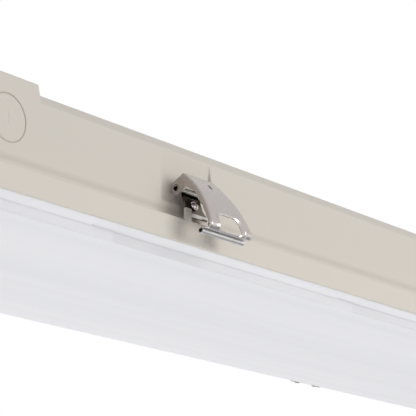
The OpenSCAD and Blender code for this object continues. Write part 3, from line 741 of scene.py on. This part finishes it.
def lens_ring():
    """Rounded rectangles, one for each point of the section; the corner radius shrinks as the ring closes in.
    Half of each is worked out, from the near side to the right end. The rest is that half turned round."""
    in_y, in_x, height = (lens_section[:, k][:, None] for k in range(3))
    radius = np.maximum(corner_r - in_y, least_r)
    half_x, half_y = half_length - np.minimum(in_x, 60), half_width - in_y
    straight_y = np.maximum(half_y - radius, 0.2)
    turn = corner_turn[None, :]
    side = lens_x[None, :] * np.minimum((half_x - radius) / 590, 1)
    end = lens_y[None, :] * np.minimum(straight_y / 62, 1)
    bend_x = half_x - radius + radius * np.sin(turn)
    bend_y = straight_y + np.minimum(radius, half_y) * np.cos(turn)
    off_mark = np.abs(np.abs((side / mark_pitch) - np.round(side / mark_pitch)) * mark_pitch)
    near_mark = (off_mark < mark_reach + 0.1) & (np.abs(side) < 2.2 * mark_pitch)
    by_side = np.exp(-((in_y - side_in) / 0.9) ** 2) * (height < lens_edge_z - 2)
    dent = mark_depth * by_side * near_mark
    flat = np.broadcast_to
    half = [np.stack([side, dent - half_y, flat(height, side.shape) + dent], axis=-1),
            np.stack([bend_x, -bend_y, flat(height, bend_x.shape)], axis=-1),
            np.stack([flat(half_x, end.shape), end, flat(height, end.shape)], axis=-1),
            np.stack([bend_x[:, ::-1], bend_y[:, ::-1], flat(height, bend_x.shape)], axis=-1)]
    half = np.concatenate(half, axis=1)
    return np.concatenate([half, half * [-1, -1, 1]], axis=1)


lens_skin = lens_ring()
lens_rows, lens_columns = lens_skin.shape[:2]
last_ring = (lens_rows - 1) * lens_columns
lens_faces = grid_faces(lens_rows, lens_columns, closed=True).tolist()
lens_faces += [list(range(lens_columns))[::-1], [last_ring + k for k in range(lens_columns)]]
make_piece("lens_skin", lens_skin, lens_faces, lens_finish, "fixture", ["lens"], crease=50)

# %% [markdown]
# Each latch lever is pressed from spring steel. Its plate bows outwards, its edges turn in and widen at the
# top into two ears for the pin, and its foot turns under into a hook that ends in a rolled edge. A window
# for a finger leaves two legs, and a bead is pressed round it. The lever is one thin sheet, so it is made
# as a surface in three kinds of grid (the plate with its bends, the turned-in edges, and the ears round the
# pin hole), welded, and then given its thickness.

# %% The section of a lever
# Places are outwards and up from the pin, in millimetres. The sheet is thinned to roll_t along its roll
bow_centre, bow_r, bow_low = np.array([-61.7, -21.1]), 75.0, -38.4
sheet_t, roll_t = 0.9, 0.25
roll_centre, roll_r = np.array([2.6, -37.8]), 1.38
heel_end, knee_run = np.array([8.09, -40.77]), 2.1
top_up, ear_r, pin_r, window_top = 4.4, 4.4, 1.5, -30.6


def bow_at(up):
    """Points of the bowed plate at given heights."""
    up = np.asarray(up, float)
    return np.stack([bow_centre[0] + np.sqrt(bow_r ** 2 - (up - bow_centre[1]) ** 2), up], axis=-1)


slit_top, slit_low, slit_x, slit_half, ear_low = -3.0, -7.8, 1.9, 1.3, -4.1
bow_up = np.concatenate([[top_up, 3, 1.5, 0, -1.5, slit_top, ear_low, -5.9, slit_low],
                         np.arange(-10, -25, -2.5), [-24.8, -26.2, -27.3, -28.1, -28.7, -29.3, -29.8, -30.2],
                         [window_top, -30.75, -31.2, -32, -33.1, -34.6, -35.6, -36.6, -37.6, bow_low]])
part_way = np.linspace(0, 1, 7)[1:-1, None]

# The heel curves from the bow's end to heel_end, pulled towards a knee on the line that the bow ends with
heel_start = bow_at(bow_low)
way_down = heel_start - bow_at(bow_low + 0.2)
heel_knee = heel_start + way_down / np.linalg.norm(way_down) * knee_run
still_to_go = 1 - part_way
heel = still_to_go ** 2 * heel_start + 2 * part_way * still_to_go * heel_knee + part_way ** 2 * heel_end

# The hook is the straight line from there that just touches the roll, and the roll is most of a circle
to_roll = roll_centre - heel_end
line_way = math.atan2(to_roll[1], to_roll[0]) - math.asin(roll_r / np.linalg.norm(to_roll))
roll_angle = line_way - math.pi / 2 + np.linspace(0, math.radians(325), 25)
roll_arc = roll_centre + roll_r * np.stack([np.cos(roll_angle), np.sin(roll_angle)], axis=1)
hook_line = heel_end + part_way * (roll_arc[0] - heel_end)
lever_path = np.concatenate([bow_at(bow_up), heel, [heel_end], hook_line, roll_arc])
path_way = np.gradient(lever_path, axis=0)
path_way /= np.linalg.norm(path_way, axis=1, keepdims=True)
path_out = np.stack([-path_way[:, 1], path_way[:, 0]], axis=1)
path_run = np.concatenate([[0], np.cumsum(np.linalg.norm(np.diff(lever_path, axis=0), axis=1))])
print("lever section:", len(lever_path), "points,", round(path_run[-1], 1), "mm of sheet")

# %% The plate of a lever, with its window and bends
first_window = int(np.flatnonzero(bow_up == window_top)[0])
line_start = len(bow_up) + len(heel) + 1
last_window = line_start - 1
# Half widths: at the ears, what the plate gains below them and over what height, and at the roll
ear_half, flare, flare_h, roll_half = 14.3, 6.0, 34, 20.5


def half_width_at(above):
    """Half the plate's width at heights above the pin: even down to 5 mm below it, then wider to the foot."""
    return ear_half + flare * (np.clip(-5 - above, 0, flare_h) / flare_h) ** 1.05


half_plate = half_width_at(lever_path[:, 1])
half_plate[line_start:line_start + 6] = np.linspace(roll_half - 0.3, roll_half, 6)
half_plate[line_start + 6:] = roll_half
bend_r = 1.3 * np.interp(np.arange(len(lever_path)), [line_start - 2, line_start + 3], [0.85, 0.12])

# Half the window's width at each row, with the radii of its top and low corners; above and below the window
# the same columns run on at a width of their own
top_run, end_run = path_run[first_window], path_run[last_window]
top_r, low_r = 4.2, 2.8
window_side = 9.5 + 1.2 * np.clip((path_run - top_run) / 8, 0, 1)
window_half = np.full(len(lever_path), 5.3)
inside = slice(first_window, last_window + 1)
upper = top_r - np.clip(path_run[inside] - top_run, 0, top_r)
lower = low_r - np.clip(end_run - path_run[inside], 0, low_r)
window_half[inside] = window_side[inside] - top_r + np.sqrt(top_r ** 2 - upper ** 2)
window_half[inside] += np.sqrt(low_r ** 2 - lower ** 2) - low_r
leg_parts = np.array([0, 0.05, 0.11, 0.17, 0.24, 0.32, 0.42, 0.56, 0.78, 1])
bend_turn = np.linspace(0, math.pi / 2, 5)[1:]


def bead_height(x):
    """How far the sheet stands out at each place: a bead round the window, and the window's rim turned
    inwards. Both are bell curves of the gap between a place and the window's rounded outline."""
    run = path_run[:, None]
    middle, half_high = (top_run + end_run) / 2, (end_run - top_run) / 2
    radius = np.where(run < middle, top_r, low_r)
    gap_x, gap_run = np.abs(x) - window_side[:, None] + radius, np.abs(run - middle) - half_high + radius
    outside = np.hypot(np.maximum(gap_x, 0), np.maximum(gap_run, 0))
    gap = outside + np.minimum(np.maximum(gap_x, gap_run), 0) - radius
    share = np.clip((run - top_run + 2) / 6, 0, 1) * np.clip((end_run + 1.5 - run) / 3, 0, 1)
    return share * (0.7 * np.exp(-((gap - 1.8) / 1.0) ** 2) - 1.1 * np.exp(-(gap / 0.75) ** 2))


def plate_grid():
    """Rows down the section, columns across: bend, leg, window, leg, bend. Gives (x, out, up) points and the
    quads that are left when the window and the slit are cut out."""
    edge = half_plate - bend_r
    leg = window_half[:, None] + (edge - window_half)[:, None] * leg_parts
    slit = np.broadcast_to([-2.2, slit_x - slit_half, slit_x + slit_half, 4.4], (len(lever_path), 4))
    x = np.concatenate([-leg[:, ::-1], slit, leg], axis=1)
    lift = bead_height(x)
    place = lever_path[:, None, :] + path_out[:, None, :] * lift[..., None]
    flat = np.concatenate([x[..., None], place], axis=-1)
    bend_x = edge[:, None] + bend_r[:, None] * np.sin(bend_turn)
    sink = bend_r[:, None] * (1 - np.cos(bend_turn))
    bend = lever_path[:, None, :] - path_out[:, None, :] * sink[..., None]
    right_bend = np.concatenate([bend_x[..., None], bend], axis=-1)
    left_bend = right_bend[:, ::-1] * [-1, 1, 1]
    grid = np.concatenate([left_bend, flat, right_bend], axis=1)
    rows, cols = grid.shape[:2]
    quads = grid_faces(rows, cols).reshape(rows - 1, cols - 1, 4)
    keep = np.ones((rows - 1, cols - 1), bool)
    middle = len(bend_turn) + len(leg_parts) - 1
    keep[first_window:last_window, middle:middle + 5] = False
    slit_rows = np.flatnonzero((bow_up <= slit_top) & (bow_up > slit_low))
    keep[slit_rows, middle + 2] = False
    return grid, quads[keep]


print("rows of the lever's window:", first_window, "to", last_window)

# %% The turned-in edges and the ears of a lever
ear_row = int(np.flatnonzero(bow_up == ear_low)[0])
edge_last = len(bow_up) - 1
edge_below, edge_out = [4.1, 11.7, 24, 34, 38.4], [6.6, 9.6, 10.3, 9.7, 9.1]
edge_in = np.stack([np.interp(-bow_up, edge_below, edge_out), bow_up], axis=1)
bend_end = lever_path[:len(bow_up)] - path_out[:len(bow_up)] * bend_r[:len(bow_up), None]


def edge_grid():
    """The strip from the bend in to the sheet's free edge, below the ear, on the right side."""
    part = np.linspace(0, 1, 4)[None, :, None]
    rows = slice(ear_row, edge_last + 1)
    place = bend_end[rows, None, :] * (1 - part) + edge_in[rows, None, :] * part
    x = np.broadcast_to(half_plate[rows, None, None], place.shape[:2] + (1,))
    grid = np.concatenate([x, place], axis=-1)
    return grid, grid_faces(*grid.shape[:2])


def ear_grid():
    """Rings from the ear's outline in to the pin hole, on the right side. The outline follows the bend, the
    strip's top, the lower edge, the round of the ear and the top edge."""
    part = np.linspace(0, 1, 4)[1:, None]
    strip_top = bend_end[ear_row] * (1 - part) + edge_in[ear_row] * part
    low = edge_in[ear_row] + np.linspace(0, 1, 6)[1:-1, None] * (np.array([0, -ear_r]) - edge_in[ear_row])
    turn = np.linspace(-math.pi / 2, -math.pi * 1.5, 17)
    round_part = ear_r * np.stack([np.cos(turn), np.sin(turn)], axis=1)
    high = np.array([0, top_up]) + np.linspace(0, 1, 7)[1:-1, None] * (bend_end[0] - [0, top_up])
    outline = np.concatenate([bend_end[:ear_row + 1], strip_top, low, round_part, high])
    way = np.arctan2(outline[:, 1], outline[:, 0])
    hole = pin_r * np.stack([np.cos(way), np.sin(way)], axis=1)
    part = np.array([0, 0.3, 0.6, 0.85, 1])[:, None, None]
    place = outline * (1 - part) + hole * part
    grid = np.concatenate([np.full(place.shape[:2] + (1,), half_plate[0]), place], axis=-1)
    return grid, grid_faces(*grid.shape[:2], closed=True)[:, ::-1]


def lever_sheet():
    """The whole outer surface of a lever, thickened inwards: thinner along the roll, so that its end shows a
    hole. Also gives the two marks that the finish reads: painted shade, where it is dark, and a painted
    sheen at its foot."""
    grids = [plate_grid()]
    for grid, quads in (edge_grid(), ear_grid()):
        grids.append((grid, quads))
        grids.append((grid * [-1, 1, 1], quads[:, ::-1]))
    points, quads = weld(grids)
    reach = np.hypot(points[:, 1] - roll_centre[0], points[:, 2] - roll_centre[1])
    thickness = np.interp(reach, [roll_r + 0.05, np.linalg.norm(to_roll)], [roll_t, sheet_t])
    every, faces = thicken(points, quads, thickness)
    x, out, above = every.T
    inner = np.arange(len(every)) >= len(points)
    by_slit = (np.abs(x - slit_x) < slit_half + 0.1) & (above < slit_top + 0.1) & (above > slit_low - 0.1)
    in_ear = (np.abs(x) > 12) & (above > -1) & (out > 2.5)
    on_side = np.clip((np.abs(x) - half_width_at(above) + 0.5) / 0.4, 0, 1) * (above > -37)
    # Painted shade: inside the ears and behind the slit, and a little at the sides
    painted_shade = np.where(inner & (by_slit | in_ear), 1, 0.3 * on_side)
    # Painted sheen at the foot: the hook and the roll are painted paler and given a rougher grain
    painted_sheen = np.clip((9.2 - out) / 2, 0, 1) * (above < -35)
    return every, faces, {"painted_shade": painted_shade, "painted_sheen": painted_sheen}


# How far the first latch is open at rest
released = math.radians(33)


def at_latch(points, index, opened):
    """Places (x, out, up) points at a latch: turned open about the pin, then moved. Latches 0 to 2 are on the
    near side, 3 to 5 on the far side."""
    x, out, up = points.T
    turned_out = out * math.cos(opened) - up * math.sin(opened)
    turned_up = up * math.cos(opened) + out * math.sin(opened)
    side = -1 if index < 3 else 1
    return np.stack([x + latch_at[index % 3], side * (pin_y + turned_out), pin_z + turned_up], axis=1)


def at_every_latch(name, points, faces, finish, body, node, opened=0.0, marks=None):
    """One piece at each of the six latches, where {} in a name stands for the latch's number. Only the first
    latch is opened. On the far side the points are mirrored, so the faces are turned round."""
    for index in range(6):
        number = index + 1
        placed = at_latch(points, index, opened if index == 0 else 0.0)
        make_piece(name.format(number), placed, faces if index < 3 else faces[:, ::-1], finish,
                   body.format(number), [node.format(number)], 38, marks)


sheet_points, sheet_faces, sheet_marks = lever_sheet()
at_every_latch("lever_{}", sheet_points, sheet_faces, spring_finish, "latch_{}",
               "latch_lever_{}", released, sheet_marks)

# %% [markdown]
# The bracket under a lever is one strip of sheet steel. It curls round the pin, runs down the wall under
# its rivet, and ends in a roll that rests on the tabs. The curl nearly fills the gap between the ears; the
# strip is narrower, and widens a little towards its roll.

# %% The bracket of a latch
# Radii, half widths and thicknesses of the barrel, the strip and the roll at its foot
barrel_r, barrel_half, barrel_t = 1.8, 12.8, 0.27
strip_half, strip_t = 8.3, 0.8
foot_r, foot_half = 1.5, 10.6


def arc(centre, radius, start, end, count):
    """Points on a circle between two angles in degrees."""
    way = np.radians(np.linspace(start, end, count))[:, None]
    return np.asarray(centre) + radius * np.concatenate([np.cos(way), np.sin(way)], axis=1)


def bracket_sheet():
    """Rows along the strip, columns across it. The surface is the side that faces the wall."""
    curl, foot = arc(pin_axis, barrel_r, -70, 212, 25), arc(foot_axis, foot_r - strip_t, 18.8, -270, 19)
    neck = np.array([[-0.9, -1.7], [-0.45, -2.6], [0.05, -3.7], [0.5, -4.8]])
    line_top = np.array([1.0, -6.1])
    line = foot[0] + (line_top - foot[0]) * np.linspace(0, 1, 9)[:-1, None]
    track = np.concatenate([curl, neck, line[::-1][:-1], foot])
    half = np.interp(-track[:, 1], [10.5, 13.5], [strip_half, foot_half])
    outer = np.full(len(track), barrel_half)
    x = np.stack([-outer, -half, -half / 3, half / 3, half, outer], axis=1)
    grid = np.concatenate([x[..., None], np.broadcast_to(track[:, None, :], x.shape + (2,))], axis=-1)
    rows, cols = grid.shape[:2]
    quads = grid_faces(rows, cols).reshape(rows - 1, cols - 1, 4)
    keep = np.ones((rows - 1, cols - 1), bool)
    keep[len(curl) - 1:, [0, -1]] = False
    points, quads = weld([(grid, quads[keep])])
    from_pin = np.hypot(points[:, 1], points[:, 2])
    return thicken(points, quads, np.interp(from_pin, [barrel_r + 0.1, barrel_r + 1.6], [barrel_t, strip_t]))


bracket_points, bracket_faces = bracket_sheet()
at_every_latch("bracket_{}", bracket_points, bracket_faces, bracket_finish, "fixture",
               "latch_bracket_{}")

# %% [markdown]
# Each node of the frame now gets the finish that its real piece has.

# %% Finishes on the frame's nodes
by_start = {
    "housing": housing_finish, "lens": lens_finish, "gasket": rubber_finish, "gear_tray": enamel_finish,
    "tray_screws": plated_finish, "led_board": board_finish, "led_packages": phosphor_finish,
    "driver_case": case_finish, "driver_screws": plated_finish, "terminal_block": nylon_finish,
    "supply_wires": black_wire_finish, "output_wires": red_wire_finish, "earth_screw": brass_finish,
    "vent_plug": vent_finish, "mounting_clip": bright_finish, "latch_bracket": bracket_finish,
    "latch_rivets": bright_finish, "latch_lever": spring_finish, "latch_pin": pin_finish}
for node_name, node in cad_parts.items():
    finish = next(f for start, f in by_start.items() if node_name.startswith(start))
    node.data.materials.clear()
    node.data.materials.append(finish)
print("nodes dressed:", len(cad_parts))

# %% [markdown]
# The room: a white studio that the camera, and the reflections in the steel, see as plain white, with
# softer light for everything else. One large lamp stands to the right, in front and above, so the latches'
# shadows fall to the left and down; a weaker one lights the lens from below, and a third the far side. The
# floor is 7 metres down.

# %% Studio
world = bpy.data.worlds.new("studio")
bpy.context.scene.world = world
world.use_nodes = True
world.node_tree.nodes.clear()
air = Shade(world.node_tree)
height = air.node("SeparateXYZ", {}, {"Vector": air.node("TexCoord", out="Generated")}, out=2)
overhead = height.ramp(-0.1, 1.0)
soft_sky = overhead.mix((0.58, 0.58, 0.586), (0.36, 0.36, 0.366))
bright_sky = overhead.mix((0.92, 0.92, 0.92), (0.66, 0.66, 0.66))
seen = air.maths("MAXIMUM", air.node("LightPath", out="Is Camera Ray"),
                 air.node("LightPath", out="Is Transmission Ray"))
sky = seen.mix(air.node("LightPath", out="Is Glossy Ray").mix(soft_sky, bright_sky), (1, 1, 1))
air.node("OutputWorld", {}, {"Surface": air.node("Background", {}, {"Color": sky, "Strength": 1.0})})


def lamp(name, place, aim, size, watts, colour=(1, 1, 1)):
    """A square softbox of the given size at `place`, turned to face `aim`."""
    data = bpy.data.lights.new(name, "AREA")
    data.size = size
    data.energy = watts
    data.color = colour
    made = bpy.data.objects.new(name, data)
    bpy.context.scene.collection.objects.link(made)
    way = np.array(aim, float) - np.array(place, float)
    way /= np.linalg.norm(way)
    side = np.cross(way, [0, 0, 1])
    side /= np.linalg.norm(side)
    turned = np.eye(4)
    turned[:3, :3] = np.stack([side, np.cross(side, way), -way], axis=1)
    turned[:3, 3] = place
    made.matrix_world = Matrix(turned.tolist())


lamp("key", (0.5, -2.6, 0.45), (-0.3, -0.1, -0.05), 1.6, 38, (1.0, 0.99, 0.98))
lamp("under", (-0.3, 0.4, -2.2), (0, 0, -0.08), 2.0, 27)
lamp("far_side", (0.6, 2.4, 0.8), (0, 0.1, -0.05), 1.2, 16)

# The camera sees a glow for most of the floor's light, so that it looks white and still holds the shadow
floor_half, floor_z, glow_share, glow_strength = 14.0, -7, 0.9, 1.08
floor_points = [(-floor_half, -floor_half, floor_z), (floor_half, -floor_half, floor_z),
                (floor_half, floor_half, floor_z), (-floor_half, floor_half, floor_z)]
floor_mesh = bpy.data.meshes.new("floor")
floor_mesh.from_pydata(floor_points, [], [(0, 1, 2, 3)])
floor = bpy.data.objects.new("floor", floor_mesh)
bpy.context.scene.collection.objects.link(floor)
floor_material, floor_shade = finish_named("pale_floor")
diffuse = floor_shade.node("BsdfDiffuse", {}, {"Color": (0.8, 0.8, 0.8)})
glow = floor_shade.node("Emission", {}, {"Color": (1, 1, 1), "Strength": glow_strength})
glowing = floor_shade.node("LightPath", out="Is Camera Ray") * glow_share
mixed = floor_shade.node("MixShader", {}, {0: glowing, 1: diffuse, 2: glow})
floor_shade.node("OutputMaterial", {}, {"Surface": mixed})
floor.data.materials.append(floor_material)
bpy.context.scene.view_settings.view_transform = "Standard"
print("studio ready")
